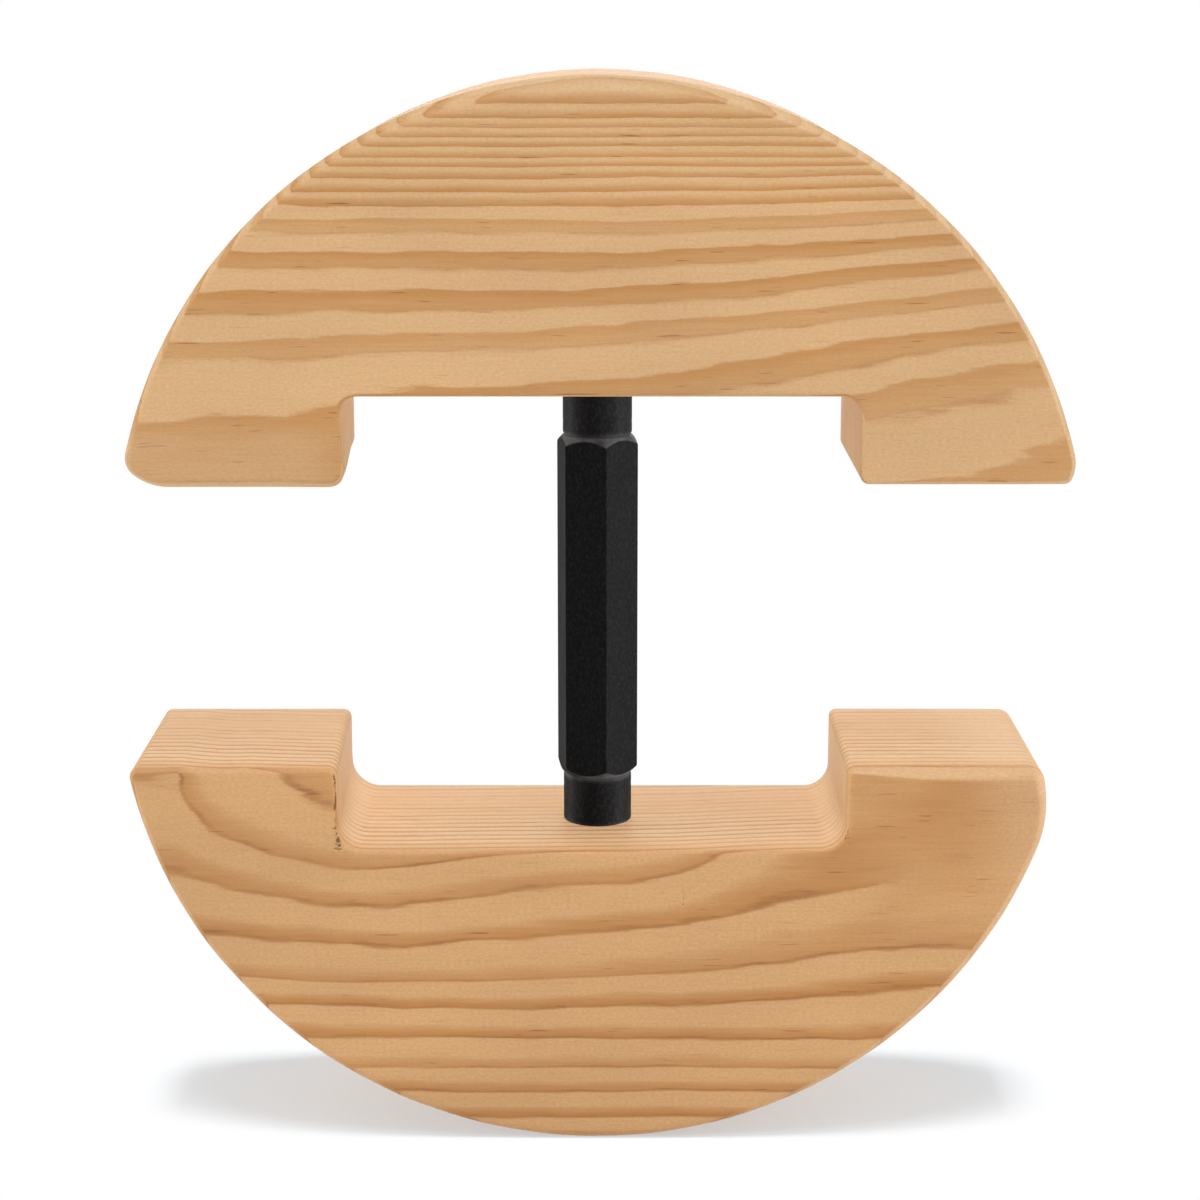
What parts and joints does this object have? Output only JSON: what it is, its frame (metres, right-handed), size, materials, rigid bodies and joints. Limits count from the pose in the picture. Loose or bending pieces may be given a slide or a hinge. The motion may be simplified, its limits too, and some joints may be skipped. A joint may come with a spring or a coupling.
{
  "type": "hat stretcher",
  "caption": "Hat stretcher with D-shaped wooden blocks that a hexagonal turnbuckle sleeve pushes apart, to widen a hat's sweatband.",
  "frame": {"origin": "middle of the hexagonal sleeve, which is the middle of the closed stretcher", "axes": "+Z along the turnbuckle towards the upper block, +X across the blocks, +Y from their front face to their back face"},
  "size_m": [0.1578, 0.04, 0.1822],
  "materials": {
    "upper_pine": "bare sanded softwood",
    "lower_pine": "bare sanded softwood",
    "black_steel": "satin black",
    "zinc_steel": "zinc plated",
    "brass": "turned"
  },
  "bodies": {
    "lower": {"lower_block": "lower_pine", "lower_insert": "brass", "lower_stud": "zinc_steel", "lower_collar": "black_steel"},
    "collar": {"upper_collar": "black_steel"},
    "sleeve": {"hex_sleeve": "black_steel"},
    "upper": {"upper_block": "upper_pine", "upper_insert": "brass", "upper_stud": "zinc_steel"}
  },
  "joints": [
    {"name": "sleeve_climb", "type": "slide", "parent": "lower", "child": "collar", "axis": [0, 0, 1], "range_m": [0, 0.0195]},
    {"name": "sleeve_turn", "type": "hinge", "parent": "collar", "child": "sleeve", "pos_m": [0, 0, 0], "axis": [0, 0, 1], "range_deg": [0, 5580]},
    {"name": "opening", "type": "slide", "parent": "lower", "child": "upper", "axis": [0, 0, 1], "range_m": [0, 0.036]}
  ],
  "couplings": [
    {"joint": "sleeve_climb", "follows": "opening", "ratio": 0.5},
    {"joint": "sleeve_turn", "follows": "opening", "rad_per_m": 2513.3}
  ]
}
